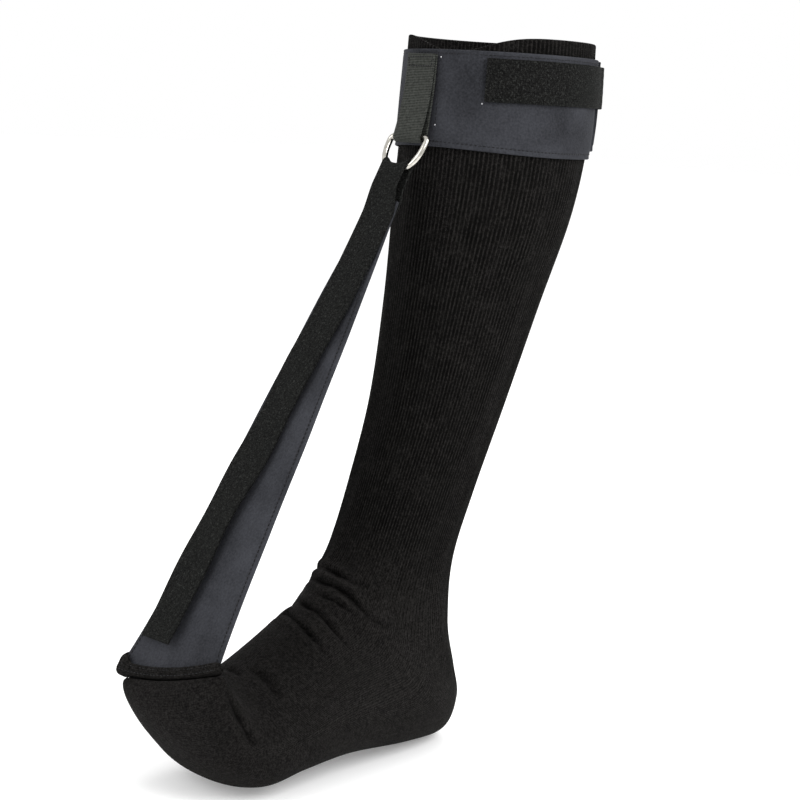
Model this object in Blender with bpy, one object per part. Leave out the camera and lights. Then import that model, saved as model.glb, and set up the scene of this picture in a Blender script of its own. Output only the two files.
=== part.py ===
"""Night-splint sock: a knee-high knitted sock whose toes are held up by a strap that runs to a calf band.

The sock is modelled as it sits on a leg. The toes point to -Y, the wearer's left is +X and +Z is up. The
frame's origin is the middle of the leg opening, because a leg is what holds the sock up.
"""

import math

import bmesh
import bpy
from mathutils import Vector

# All sizes below are millimetres; world() turns them into metres.
MM = 0.001
OPENING_FORWARD = -62.0
OPENING_HEIGHT = 420.0

KNIT = 2.4
FIT_GAP = 0.4
JOIN_GAP = 0.012
AROUND = 48

# The sock's shape. Each section is a slightly squared oval between a point on the front line and a
# point on the back line: (front forward, front height, back forward, back height, half width, front
# taper, squareness). Down the leg the sections lie flat, and around the ankle they fan out, so that
# they end upright in the foot.
SECTIONS = (
    (-2, 428, -123, 428, 53, 0.0, 2.0),
    (0, 384, -122, 373, 53.5, 0.0, 2.0),
    (4, 331, -111, 323, 52, 0.0, 2.0),
    (11, 270, -90, 266, 44, 0.0, 2.0),
    (21, 210, -67, 206, 38, 0.0, 2.0),
    (36, 161, -45, 153, 35, 0.0, 2.0),
    (49, 127, -31, 113, 34, 0.0, 2.0),
    (59, 113, -28, 73, 35, 0.02, 2.1),
    (67, 104, -35, 42, 36, 0.04, 2.2),
    (73, 99, -40, 20, 37, 0.05, 2.2),
    (78, 94, -29, 2, 38, 0.09, 2.2),
    (87, 88, 5, 1, 40, 0.11, 2.3),
    (105, 75, 58, 5, 42, 0.11, 2.3),
    (124, 63, 102, 4, 45, 0.12, 2.3),
    (137, 60, 131, 1, 46, 0.10, 2.3),
    (145, 61, 154, 10, 44, 0.05, 2.3),
    (152, 66, 171, 29, 40, 0.0, 2.3),
    (160, 69, 181, 48, 37, 0.0, 2.2),
    (166, 67, 183, 60, 36, 0.0, 2.0),
    (171, 63, 178, 67, 35, 0.0, 2.0),
)
LEG_END = 6.0
ANKLE_END = 7.0
HEEL_END = 11.0
FOOT_END = 14.0
TOE_END = 19.0

# The rim is level but for a dip where the sock has slipped under the band beside the shin.
RIM_HEIGHT = 424.0
RIM_DIP = 10.0
RIM_DIP_ANGLE = 17.0
RIM_DIP_SPREAD = 28.0
WELT_BOTTOM = 396.0

# Calf band, with its hook tab.
BAND_BOTTOM = 360.0
BAND_TOP = 416.0
BAND_THICK = 1.8
BAND_HEM = 3.0
BAND_DROP = 3.5
LAP_ANGLES = (142.5, 195.0)
TAB_ANGLES = (38.0, 152.0)
TAB_ROOT_ANGLES = (152.6, 168.0)
TAB_HEIGHTS = (387.0, 412.0)
TAB_THICK = 1.6
THREAD = 0.45
THREAD_SIDES = 5
STITCH_OUT = 0.75

# The strap's own frame: it starts at the toe seam and leans back up to the ring. "Along" runs up the strap
# from the seam, and "out" leaves its front face.
STRAP_FOOT = (174.0, 67.7)
STRAP_LEAN = math.radians(28.9)
STRAP_THICK = 2.0
STRAP_TOP = 297.0
STRAP_TOP_HALF = 10.3
STRAP_TAPER = 0.108
STRAP_EASE = 0.00012
STRAP_FLARE = 6.5
STRAP_FLARE_REACH = 30.0
STRAP_X_TOP = 1.0
STRAP_X_SHIFT = -5.0
STRAP_HEM = 2.6
SEAM_SLOPE = 0.27
SEAM_BOW = 0.003
SEAM_LEVEL = 4.5

# The knitted lip across the toes: its section is an L, with the strap's end standing in its corner.
LIP_ENDS = (-43.0, 34.5)
LIP_BACK = -3.2
LIP_FRONT = 3.9
LIP_SLOT = 2.7
LIP_BOTTOM = -5.6
LIP_BASE = -2.2
LIP_TOP = 0.8

# D-ring: a straight bar held by the webbing and a half-round bow that the tape turns round.
RING_ALONG = 339.5
RING_HALF = 14.8
RING_SIDE = 3.0
RING_BOW = 18.7
RING_CORNER = 3.0
RING_WIRE = 1.8
RING_SQUARE = 2.5
RING_X = -2.6

WEBBING_HALF = 11.0
WEBBING_THICK = 1.4
WEBBING_TOP = 413.0

TAPE_THICK = 1.5
TAPE_HALF = 12.7
FOLD_HALF = 10.0
FOLD_X = -2.6
FOLD_END = 308.0
BACK_RUN_END = 280.0
TAIL_END = 16.0
TIP_START = 28.0
TAIL_X = 1.5
TAIL_DRIFT = 20.5
TAIL_DRIFT_START = 290.0
TAIL_DRIFT_REACH = 290.0
TAIL_LIFT = 4.0

ANKLE_AXIS = (10.0, 85.0)


def world(x, forward, height):
    """A point given across, forward of the leg and above the sole, in the object's own frame in metres."""
    return Vector((x, OPENING_FORWARD - forward, height - OPENING_HEIGHT)) * MM


def on_strap(x, along, out):
    """A point in the strap's own frame."""
    forward = STRAP_FOOT[0] - along * math.sin(STRAP_LEAN) + out * math.cos(STRAP_LEAN)
    height = STRAP_FOOT[1] + along * math.cos(STRAP_LEAN) + out * math.sin(STRAP_LEAN)
    return world(x, forward, height)


def seam_rise(x):
    """How far the toe seam rises along the strap at x, from its level at the middle."""
    return SEAM_SLOPE * x + SEAM_BOW * x * x


def section_at(t):
    """The section at a fractional place in the list, on a smooth curve through the sections."""
    last = len(SECTIONS) - 1
    index = min(max(int(t), 0), last - 1)
    u = t - index
    b, c = SECTIONS[index], SECTIONS[index + 1]
    a = SECTIONS[index - 1] if index > 0 else tuple(2 * p - q for p, q in zip(b, c))
    d = SECTIONS[index + 2] if index < last - 1 else tuple(2 * q - p for p, q in zip(b, c))
    return [
        0.5 * (2 * q + (r - p) * u + (2 * p - 5 * q + 4 * r - s) * u**2 + (3 * q - p - 3 * r + s) * u**3)
        for p, q, r, s in zip(a, b, c, d)
    ]


def sock_point(t, angle):
    """The sock's outer surface at section t. Angle 0 is the front, 90 the +X side and 180 the back."""
    front_f, front_h, back_f, back_h, half, taper, square = section_at(t)
    turn = math.radians(angle)
    power = 2.0 / square
    fore = math.copysign(abs(math.cos(turn)) ** power, math.cos(turn))
    side = math.copysign(abs(math.sin(turn)) ** power, math.sin(turn))
    x = side * half * (1.0 - taper * fore)
    forward = 0.5 * (front_f + back_f) + 0.5 * (front_f - back_f) * fore
    height = 0.5 * (front_h + back_h) + 0.5 * (front_h - back_h) * fore
    rise = seam_rise(x) * min(max((t - 15.5) / 2.5, 0.0), 1.0)
    return world(x, forward - rise * math.sin(STRAP_LEAN), height + rise * math.cos(STRAP_LEAN))


def sock_normal(t, angle):
    step = 0.02
    low, high = max(t - step, 0.0), min(t + step, TOE_END)
    down = sock_point(high, angle) - sock_point(low, angle)
    around = sock_point(t, angle + 1.0) - sock_point(t, angle - 1.0)
    return down.cross(around).normalized()


def off_sock(t, angle, out):
    """A point that stands out from the sock's surface, or lies inside it where out is negative."""
    return sock_point(t, angle) + sock_normal(t, angle) * out * MM


def section_of_height(height, angle):
    """Where on the leg the surface reaches this height, by halving."""
    target = (height - OPENING_HEIGHT) * MM
    low, high = 0.0, 3.0
    for _ in range(40):
        middle = 0.5 * (low + high)
        if sock_point(middle, angle).z > target:
            low = middle
        else:
            high = middle
    return low


def at_height(height, angle, out):
    return off_sock(section_of_height(height, angle), angle, out)


def rim_height(angle):
    away = (angle - RIM_DIP_ANGLE + 180.0) % 360.0 - 180.0
    return RIM_HEIGHT - RIM_DIP * math.exp(-((away / RIM_DIP_SPREAD) ** 2))


def angles():
    return [360.0 * k / AROUND for k in range(AROUND)]


def spaced(start, end, count):
    return [start + (end - start) * k / (count - 1) for k in range(count)]


def eased(value):
    share = min(max(value, 0.0), 1.0)
    return share * share * (3.0 - 2.0 * share)


def make_material(name, colour, roughness, metallic=0.0):
    material = bpy.data.materials.new(name)
    material.use_nodes = True
    surface = material.node_tree.nodes["Principled BSDF"]
    surface.inputs["Base Color"].default_value = (*colour, 1.0)
    surface.inputs["Roughness"].default_value = roughness
    surface.inputs["Metallic"].default_value = metallic
    return material


def add_piece(name, points, faces, look, pivot):
    """One closed body, with its origin on the axis it turns about."""
    mesh = bpy.data.meshes.new(name)
    mesh.from_pydata([point - pivot for point in points], [], faces)
    shape = bmesh.new()
    shape.from_mesh(mesh)
    bmesh.ops.recalc_face_normals(shape, faces=shape.faces)
    shape.to_mesh(mesh)
    shape.free()
    mesh.shade_smooth()
    mesh.set_sharp_from_angle(angle=math.radians(40))
    mesh.materials.append(make_material(name, *look))
    piece = bpy.data.objects.new(name, mesh)
    piece.location = pivot
    bpy.context.scene.collection.objects.link(piece)
    return piece


def ring_faces(first, second, count):
    """Quads between two rings of points that start at these indices."""
    return [
        (first + k, first + (k + 1) % count, second + (k + 1) % count, second + k) for k in range(count)
    ]


def seam_faces(start, count):
    """Faces that close a ring along a seam: each joins the ring's two sides at one place across it."""
    quarter = count // 4
    pairs = [(start + (quarter - k) % count, start + quarter + k) for k in range(count // 2 + 1)]
    faces = [(a, c, d, b) for (a, b), (c, d) in zip(pairs[1:-2], pairs[2:-1])]
    ends = [(pairs[0][0], *pairs[1]), (pairs[-1][0], *pairs[-2])]
    return faces + ends


def add_shell(name, outer, inner, look, pivot, closed_tip=False):
    """A wall between two lists of rings. A closed tip gets a face over its last outer and inner ring."""
    count = len(outer[0])
    rings = outer + inner
    points = [point for ring in rings for point in ring]
    faces = []
    for stack in (range(len(outer) - 1), range(len(outer), len(rings) - 1)):
        for row in stack:
            faces += ring_faces(row * count, (row + 1) * count, count)
    faces += ring_faces(0, len(outer) * count, count)
    outer_end = (len(outer) - 1) * count
    inner_end = (len(rings) - 1) * count
    if closed_tip:
        faces += seam_faces(outer_end, count) + seam_faces(inner_end, count)
    else:
        faces += ring_faces(outer_end, inner_end, count)
    return add_piece(name, points, faces, look, pivot)


def add_slab(name, front, back, look, pivot):
    """A strip between two grids of points, closed round its border."""
    rows, columns = len(front), len(front[0])
    points = [point for grid in (front, back) for row in grid for point in row]
    offset = rows * columns
    faces = []
    for start in (0, offset):
        for row in range(rows - 1):
            for column in range(columns - 1):
                corner = start + row * columns + column
                faces.append((corner, corner + 1, corner + columns + 1, corner + columns))
    border = list(range(columns))
    border += [row * columns + columns - 1 for row in range(1, rows)]
    border += [(rows - 1) * columns + column for column in range(columns - 2, -1, -1)]
    border += [row * columns for row in range(rows - 2, 0, -1)]
    for here, after in zip(border, border[1:] + border[:1]):
        faces.append((here, after, offset + after, offset + here))
    return add_piece(name, points, faces, look, pivot)


def add_loft(name, profiles, look, pivot):
    """Closed outlines joined one after the next, with a face over each end."""
    count = len(profiles[0])
    points = [point for profile in profiles for point in profile]
    faces = []
    for row in range(len(profiles) - 1):
        faces += ring_faces(row * count, (row + 1) * count, count)
    faces.append(tuple(range(count)))
    faces.append(tuple(range((len(profiles) - 1) * count, len(points))))
    return add_piece(name, points, faces, look, pivot)


def tube_rings(path, radius, sides, closed, facing):
    """Round outlines across a path, each square to it. The path's surface looks along facing."""
    rings = []
    last = len(path) - 1
    for index, point in enumerate(path):
        before = path[index - 1] if closed or index > 0 else path[0]
        after = path[(index + 1) % len(path)] if closed or index < last else path[last]
        ahead = (after - before).normalized()
        across = ahead.cross(facing).normalized()
        up = across.cross(ahead)
        rings.append([
            point + (across * math.cos(turn) + up * math.sin(turn)) * radius * MM
            for turn in (math.tau * k / sides for k in range(sides))
        ])
    return rings


def add_loop(name, path, radius, sides, look, pivot, facing):
    """A round bar bent into a closed loop."""
    rings = tube_rings(path, radius, sides, True, facing)
    points = [point for ring in rings for point in ring]
    faces = []
    for row in range(len(rings)):
        faces += ring_faces(row * sides, (row + 1) % len(rings) * sides, sides)
    return add_piece(name, points, faces, look, pivot)


def add_thread(name, path, pivot, facing):
    """A row of stitches, as the raised line of thread it makes."""
    return add_loft(name, tube_rings(path, THREAD, THREAD_SIDES, False, facing), THREAD_BLACK, pivot)


def add_thread_loop(name, path, pivot, facing):
    """A row of stitches that runs all the way round."""
    return add_loop(name, path, THREAD, THREAD_SIDES, THREAD_BLACK, pivot, facing)


SOCK_BLACK = ((0.013, 0.012, 0.011), 0.92)
SLATE = ((0.042, 0.043, 0.052), 0.85)
TAPE_BLACK = ((0.015, 0.016, 0.015), 0.9)
WEBBING_BLACK = ((0.026, 0.028, 0.024), 0.75)
THREAD_BLACK = ((0.012, 0.012, 0.014), 0.6)
NICKEL = ((0.62, 0.6, 0.56), 0.22, 1.0)

OPENING = Vector()
ANKLE = world(0.0, *ANKLE_AXIS)
UP = Vector((0.0, 0.0, 1.0))
FORWARD = Vector((0.0, -1.0, 0.0))
STRAP_FACING = Vector((0.0, -math.cos(STRAP_LEAN), math.sin(STRAP_LEAN)))


def add_sock_zone(name, rings, pivot, closed_tip=False):
    """One knitted zone, from (section, angle) pairs that give its rings."""
    outer = [[off_sock(t, angle, 0.0) for t, angle in ring] for ring in rings]
    inner = [[off_sock(t, angle, -KNIT) for t, angle in ring] for ring in rings]
    if closed_tip:
        inner = inner[:-1]
    return add_shell(name, outer, inner, SOCK_BLACK, pivot, closed_tip)


def welt_ring(share):
    """A ring part of the way down the welt, from its rim to its bottom edge."""
    bottom = WELT_BOTTOM + 0.5 * FIT_GAP
    heights = [rim_height(angle) + (bottom - rim_height(angle)) * share for angle in angles()]
    return [(section_of_height(height, angle), angle) for height, angle in zip(heights, angles())]


def band_bottom(angle):
    """The band's lower edge is level at the shin and drops a little behind the calf."""
    return BAND_BOTTOM - BAND_DROP * eased(abs((angle + 180.0) % 360.0 - 180.0) / 95.0)


def level_ring(height):
    return [(section_of_height(height, angle), angle) for angle in angles()]


def section_ring(t):
    return [(t, angle) for angle in angles()]


def build_sock():
    add_sock_zone("sock_welt", [welt_ring(share) for share in (0.0, 0.5, 1.0)], OPENING)
    leg = [level_ring(height) for height in (WELT_BOTTOM - 0.5 * FIT_GAP, 388.0, 374.0, 360.0, 345.0)]
    leg += [section_ring(t) for t in spaced(2.2, LEG_END - JOIN_GAP, 8)]
    add_sock_zone("sock_leg", leg, OPENING)
    zones = (
        ("sock_ankle", LEG_END, ANKLE_END, 5, OPENING),
        ("sock_heel", ANKLE_END, HEEL_END, 10, ANKLE),
        ("sock_foot", HEEL_END, FOOT_END, 6, ANKLE),
    )
    for name, start, end, count, pivot in zones:
        rings = [section_ring(t) for t in spaced(start + JOIN_GAP, end - JOIN_GAP, count)]
        add_sock_zone(name, rings, pivot)
    toe = [section_ring(t) for t in spaced(FOOT_END + JOIN_GAP, TOE_END, 9)]
    add_sock_zone("sock_toe", toe, ANKLE, closed_tip=True)


def build_toe_lip():
    """The knitted seam across the toe tips: a base under the strap's end and a flap up its front."""
    outline = (
        (LIP_BACK, LIP_BOTTOM),
        (LIP_FRONT, LIP_BOTTOM),
        (LIP_FRONT, LIP_TOP),
        (LIP_SLOT, LIP_TOP),
        (LIP_SLOT, LIP_BASE),
        (LIP_BACK, LIP_BASE),
    )
    profiles = []
    for x in spaced(LIP_ENDS[0], LIP_ENDS[1], 15):
        level = SEAM_LEVEL + seam_rise(x)
        profiles.append([on_strap(x, level + up, out) for out, up in outline])
    add_loft("toe_lip", profiles, SOCK_BLACK, ANKLE)
    places = spaced(LIP_ENDS[0] + 3.0, LIP_ENDS[1] - 2.5, 14)
    for name, up in (("lip_stitch_upper", -0.8), ("lip_stitch_lower", -4.2)):
        path = [on_strap(x, SEAM_LEVEL + seam_rise(x) + up, LIP_FRONT + STITCH_OUT) for x in places]
        add_thread(name, path, ANKLE, STRAP_FACING)


def strap_middle(along):
    return STRAP_X_TOP + STRAP_X_SHIFT * (1.0 - along / STRAP_TOP)


def strap_half(along):
    flare = STRAP_FLARE * math.exp(-max(along, 0.0) / STRAP_FLARE_REACH)
    below = STRAP_TOP - along
    return STRAP_TOP_HALF + STRAP_TAPER * below - STRAP_EASE * below**2 + flare


def strap_along(x, share):
    """How far up the strap a point is, from the curved seam to the straight top."""
    bottom = SEAM_LEVEL + seam_rise(x)
    return bottom + (STRAP_TOP - bottom) * share


def strap_grid(out):
    """Rows up the strap; the bottom row follows the seam and the edges follow the taper."""
    grid = []
    for share in spaced(0.0, 1.0, 12):
        row = []
        for across in spaced(-1.0, 1.0, 9):
            x = strap_middle(0.0) + across * strap_half(0.0)
            along = strap_along(x, share)
            row.append(on_strap(strap_middle(along) + across * strap_half(along), along, out))
        grid.append(row)
    return grid


def build_strap():
    half_thick = 0.5 * STRAP_THICK
    pivot = on_strap(RING_X, RING_ALONG, 0.0)
    add_slab("tension_strap", strap_grid(half_thick), strap_grid(-half_thick), SLATE, pivot)
    stitches = (
        ("strap_stitch_near", 1.0, 22.0, 236.0, half_thick + STITCH_OUT),
        ("strap_stitch_far", -1.0, 8.0, 262.0, -half_thick - STITCH_OUT),
    )
    for name, side, start, end, out in stitches:
        path = []
        for along in spaced(start, end, 12):
            x = strap_middle(along) + side * (strap_half(along) - STRAP_HEM)
            path.append(on_strap(x, along, out))
        add_thread(name, path, pivot, STRAP_FACING)
    return pivot


def tape_slab(name, middle_of, half_of, out_of, alongs, pivot):
    """A length of tape; out_of gives its back face, which may twist across its width."""
    back, front = [], []
    for along in alongs:
        xs = [(across, middle_of(along) + across * half_of(along)) for across in spaced(-1.0, 1.0, 5)]
        back.append([on_strap(x, along, out_of(along, across)) for across, x in xs])
        front.append([on_strap(x, along, out_of(along, across) + TAPE_THICK) for across, x in xs])
    add_slab(name, front, back, TAPE_BLACK, pivot)


def tail_middle(along):
    """The tail runs straight down from the ring, then drifts to the far edge of the strap."""
    start = TAIL_X + (FOLD_X - TAIL_X) * eased((along - 286.0) / 22.0)
    return start - TAIL_DRIFT * eased((TAIL_DRIFT_START - along) / TAIL_DRIFT_REACH)


def tail_half(along):
    return FOLD_HALF + (TAPE_HALF - FOLD_HALF) * eased((FOLD_END - along) / 22.0)


def tail_out(along, across):
    """The tail leaves the ring, comes down on the strap, then stands off it towards its free end."""
    clear = 0.5 * STRAP_THICK + FIT_GAP
    landing = 0.9 * eased((along - 286.0) / 22.0)
    lift = TAIL_LIFT * ((FOLD_END - along) / FOLD_END) ** 1.5 * (0.8 + 0.2 * across)
    return clear + landing + lift


def back_run_out(along, across):
    """The back run starts behind the ring and ends flat on the strap's back, where it is sewn."""
    return -0.5 * STRAP_THICK - FIT_GAP - TAPE_THICK - 0.9 * eased((along - 286.0) / 22.0)


def build_tape(strap_pivot):
    bow = on_strap(RING_X, RING_ALONG - RING_SIDE - RING_BOW, 0.0)
    run = spaced(TIP_START + 0.2, FOLD_END - 0.2, 16)
    tape_slab("tape_tail", tail_middle, tail_half, tail_out, run, bow)
    tip = spaced(TAIL_END, TIP_START - 0.2, 3)
    tape_slab("tail_tip", tail_middle, tail_half, tail_out, tip, bow)
    tape_slab(
        "tape_back_run", strap_middle, lambda along: FOLD_HALF, back_run_out,
        spaced(BACK_RUN_END, FOLD_END - 0.2, 6), strap_pivot,
    )
    box = [(-6.0, 283.0), (6.0, 283.0), (6.0, 293.0), (-6.0, 293.0)]
    out = -0.5 * STRAP_THICK - FIT_GAP - TAPE_THICK - THREAD - 0.7
    path = [on_strap(strap_middle(290.0) + x, along, out) for x, along in box]
    add_thread_loop("strap_tip_stitch", path, strap_pivot, STRAP_FACING)


def bow_along(x):
    """The bow's centre line: how far up the strap it is at x."""
    share = min(abs((x - RING_X) / RING_HALF), 1.0)
    return RING_ALONG - RING_SIDE - RING_BOW * (1.0 - share**RING_SQUARE) ** (1.0 / RING_SQUARE)


def build_fold(pivot):
    """The tape where it turns over the ring's bow: front face, over the top, and down the back."""
    half_inside = RING_WIRE + FIT_GAP
    profiles = []
    for x in spaced(FOLD_X - FOLD_HALF, FOLD_X + FOLD_HALF, 9):
        slope = (bow_along(x + 0.01) - bow_along(x - 0.01)) / 0.02
        top = RING_WIRE * math.hypot(1.0, slope) + FIT_GAP
        inner = [
            (half_inside * math.cos(turn), bow_along(x) + top * math.sin(turn))
            for turn in spaced(0.0, math.pi, 9)
        ]
        outer = [
            (
                (half_inside + TAPE_THICK) * math.cos(turn),
                bow_along(x) + (top + TAPE_THICK) * math.sin(turn),
            )
            for turn in spaced(math.pi, 0.0, 9)
        ]
        back_foot = [(-half_inside, FOLD_END + 0.2), (-half_inside - TAPE_THICK, FOLD_END + 0.2)]
        front_foot = [(half_inside + TAPE_THICK, FOLD_END + 0.2), (half_inside, FOLD_END + 0.2)]
        outline = inner + back_foot + outer + front_foot
        profiles.append([on_strap(x, along, out) for out, along in outline])
    add_loft("tape_fold", profiles, TAPE_BLACK, pivot)


def ring_path():
    """The D's centre line: the bow from +X to -X, then the corners and the bar."""
    power = 2.0 / RING_SQUARE
    path = []
    for turn in spaced(0.0, math.pi, 17):
        side = math.copysign(abs(math.cos(turn)) ** power, math.cos(turn))
        drop = RING_SIDE + RING_BOW * math.sin(turn) ** power
        path.append((RING_X + RING_HALF * side, RING_ALONG - drop))
    for side, sweep in ((-1.0, (math.pi, 0.5 * math.pi)), (1.0, (0.5 * math.pi, 0.0))):
        middle = RING_X + side * (RING_HALF - RING_CORNER)
        for turn in spaced(*sweep, 4):
            rise = RING_CORNER * (math.sin(turn) - 1.0)
            path.append((middle + RING_CORNER * math.cos(turn), RING_ALONG + rise))
    return [on_strap(x, along, 0.0) for x, along in path[:17] + path[18:-1]]


def front_forward(height):
    """How far forward the calf band's front face is, at the middle of the shin."""
    face = at_height(height, 0.0, FIT_GAP + BAND_THICK)
    return OPENING_FORWARD - face.y / MM


def webbing_faces(height, bar_forward, bar_height):
    """The four faces of the two webbing runs at a height, back to front. They part towards the bar."""
    share = ((WEBBING_TOP - height) / (WEBBING_TOP - bar_height)) ** 2.6
    inside = RING_WIRE + FIT_GAP
    start = front_forward(height) + 0.5
    back = start + (bar_forward - inside - WEBBING_THICK - start) * share
    gap = 0.4 + (2.0 * inside - 0.4) * share
    front = back + WEBBING_THICK + gap
    return back, back + WEBBING_THICK, front, front + WEBBING_THICK


def build_webbing():
    """The loop of webbing that holds the ring's bar: down the band's front, round the bar and up."""
    bar_forward = STRAP_FOOT[0] - RING_ALONG * math.sin(STRAP_LEAN)
    bar_height = STRAP_FOOT[1] + RING_ALONG * math.cos(STRAP_LEAN)
    inside = RING_WIRE + FIT_GAP
    outside = inside + WEBBING_THICK
    heights = spaced(WEBBING_TOP, bar_height, 9)
    faces = [webbing_faces(height, bar_forward, bar_height) for height in heights]
    turns = spaced(0.0, math.pi, 9)[1:-1]

    def round_bar(turn, away):
        return bar_forward + away * math.cos(turn), bar_height + away * math.sin(turn)

    outline = [(face[0], height) for face, height in zip(faces, heights)]
    outline += [round_bar(turn, -outside) for turn in turns]
    outline += [(face[3], height) for face, height in reversed(list(zip(faces, heights)))]
    outline += [(face[2], height) for face, height in zip(faces, heights)]
    outline += [round_bar(math.pi - turn, -inside) for turn in turns]
    outline += [(face[1], height) for face, height in reversed(list(zip(faces, heights)))]
    ends = (RING_X - WEBBING_HALF, RING_X + WEBBING_HALF)
    profiles = [[world(x, *point) for point in outline] for x in ends]
    add_loft("ring_webbing", profiles, WEBBING_BLACK, OPENING)
    box = [(-9.0, 7.0), (9.0, 7.0), (9.0, 2.0), (-9.0, 2.0)]
    path = []
    for x, below in box:
        height = WEBBING_TOP - below
        face = webbing_faces(height, bar_forward, bar_height)[3]
        path.append(world(RING_X + x, face + THREAD + FIT_GAP, height))
    add_thread_loop("webbing_bartack", path, OPENING, FORWARD)


def band_height(share, angle):
    """A height on the band, from its lower edge at 0 to its upper edge at 1."""
    bottom = band_bottom(angle)
    return bottom + (BAND_TOP - bottom) * share


def build_band():
    face = FIT_GAP + BAND_THICK
    inner, outer = (
        [
            [at_height(band_height(share, angle), angle, out) for angle in angles()]
            for share in (1.0, 0.75, 0.5, 0.25, 0.0)
        ]
        for out in (FIT_GAP, face)
    )
    add_shell("calf_band", outer, inner, SLATE, OPENING)
    hem = [at_height(band_bottom(angle) + BAND_HEM, angle, face + STITCH_OUT) for angle in angles()]
    add_thread_loop("band_hem_stitch", hem, OPENING, UP)


def wrap_slab(name, span, heights, out_of, thick, look, pivot, steps, rows):
    """A strip that lies round the calf between two angles."""
    places = [(height, spaced(*span, steps)) for height in spaced(*heights, rows)]
    inner = [[at_height(height, angle, out_of(angle)) for angle in turn] for height, turn in places]
    outer = [
        [at_height(height, angle, out_of(angle) + thick) for angle in turn] for height, turn in places
    ]
    add_slab(name, outer, inner, look, pivot)


def tab_out(angle):
    """The tab lies on the band and climbs onto the band's lapped end behind the calf."""
    on_band = 2 * FIT_GAP + BAND_THICK
    return on_band + (BAND_THICK + FIT_GAP) * eased((angle - 130.0) / 11.0)


def build_cuff_closure():
    lap_out = 2 * FIT_GAP + BAND_THICK
    lap_heights = (BAND_BOTTOM + 1.5, BAND_TOP - 0.5)
    wrap_slab("band_lap", LAP_ANGLES, lap_heights, lambda angle: lap_out, BAND_THICK, SLATE, OPENING, 8, 5)
    hinge_angle = 0.5 * (TAB_ANGLES[1] + TAB_ROOT_ANGLES[0])
    hinge = at_height(0.5 * sum(TAB_HEIGHTS), hinge_angle, tab_out(hinge_angle) + TAB_THICK)
    wrap_slab("cuff_tab", TAB_ANGLES, TAB_HEIGHTS, tab_out, TAB_THICK, TAPE_BLACK, hinge, 18, 3)
    wrap_slab("tab_root", TAB_ROOT_ANGLES, TAB_HEIGHTS, tab_out, TAB_THICK, TAPE_BLACK, OPENING, 4, 3)
    corners = [(155.0, 389.5), (165.5, 389.5), (165.5, 409.5), (155.0, 409.5)]
    above = TAB_THICK + THREAD + 0.6
    path = [at_height(height, angle, tab_out(angle) + above) for angle, height in corners]
    facing = off_sock(0.5, 160.0, 1.0) - off_sock(0.5, 160.0, 0.0)
    add_thread_loop("tab_root_stitch", path, OPENING, facing.normalized())


def main():
    for thing in list(bpy.data.objects):
        bpy.data.objects.remove(thing)
    build_sock()
    build_toe_lip()
    strap_pivot = build_strap()
    build_tape(strap_pivot)
    build_fold(strap_pivot)
    add_loop("d_ring", ring_path(), RING_WIRE, 8, NICKEL, strap_pivot, STRAP_FACING)
    build_webbing()
    build_band()
    build_cuff_closure()


main()
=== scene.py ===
"""Looks of the night-splint sock: knit, loop cloth, hook-and-loop tape, webbing, stitches and nickel ring.

Sizes in this file are millimetres, measured forward of the leg and above the sole, as the CAD's own
surfaces are; world() turns them into the frame's metres.
"""

import math

import bmesh
import bpy
import numpy as np
from mathutils import Matrix, Vector

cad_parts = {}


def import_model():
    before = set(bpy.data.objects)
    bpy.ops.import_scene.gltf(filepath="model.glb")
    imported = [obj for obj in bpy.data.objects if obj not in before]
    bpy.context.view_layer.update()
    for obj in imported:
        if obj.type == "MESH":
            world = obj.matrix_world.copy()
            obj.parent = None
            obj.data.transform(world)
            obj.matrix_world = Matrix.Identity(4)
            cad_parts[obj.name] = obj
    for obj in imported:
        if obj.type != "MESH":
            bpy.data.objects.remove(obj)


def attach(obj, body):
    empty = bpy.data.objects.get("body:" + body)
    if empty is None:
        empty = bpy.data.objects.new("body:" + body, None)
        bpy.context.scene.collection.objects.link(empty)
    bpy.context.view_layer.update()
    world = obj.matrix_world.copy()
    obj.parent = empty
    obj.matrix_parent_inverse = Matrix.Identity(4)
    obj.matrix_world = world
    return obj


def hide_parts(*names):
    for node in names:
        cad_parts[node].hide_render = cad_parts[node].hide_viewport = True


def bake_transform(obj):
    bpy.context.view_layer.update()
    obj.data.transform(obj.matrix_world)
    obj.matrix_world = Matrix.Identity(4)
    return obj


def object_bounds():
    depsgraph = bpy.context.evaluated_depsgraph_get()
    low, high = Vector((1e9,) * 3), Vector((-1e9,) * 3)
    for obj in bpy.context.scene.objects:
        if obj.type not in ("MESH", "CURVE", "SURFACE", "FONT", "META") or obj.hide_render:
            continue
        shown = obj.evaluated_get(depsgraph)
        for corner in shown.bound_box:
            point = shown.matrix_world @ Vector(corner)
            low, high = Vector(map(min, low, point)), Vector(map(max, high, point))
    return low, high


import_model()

CAD_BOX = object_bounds()

MM = 0.001
OPENING_FORWARD = -62.0
OPENING_HEIGHT = 420.0

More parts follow.
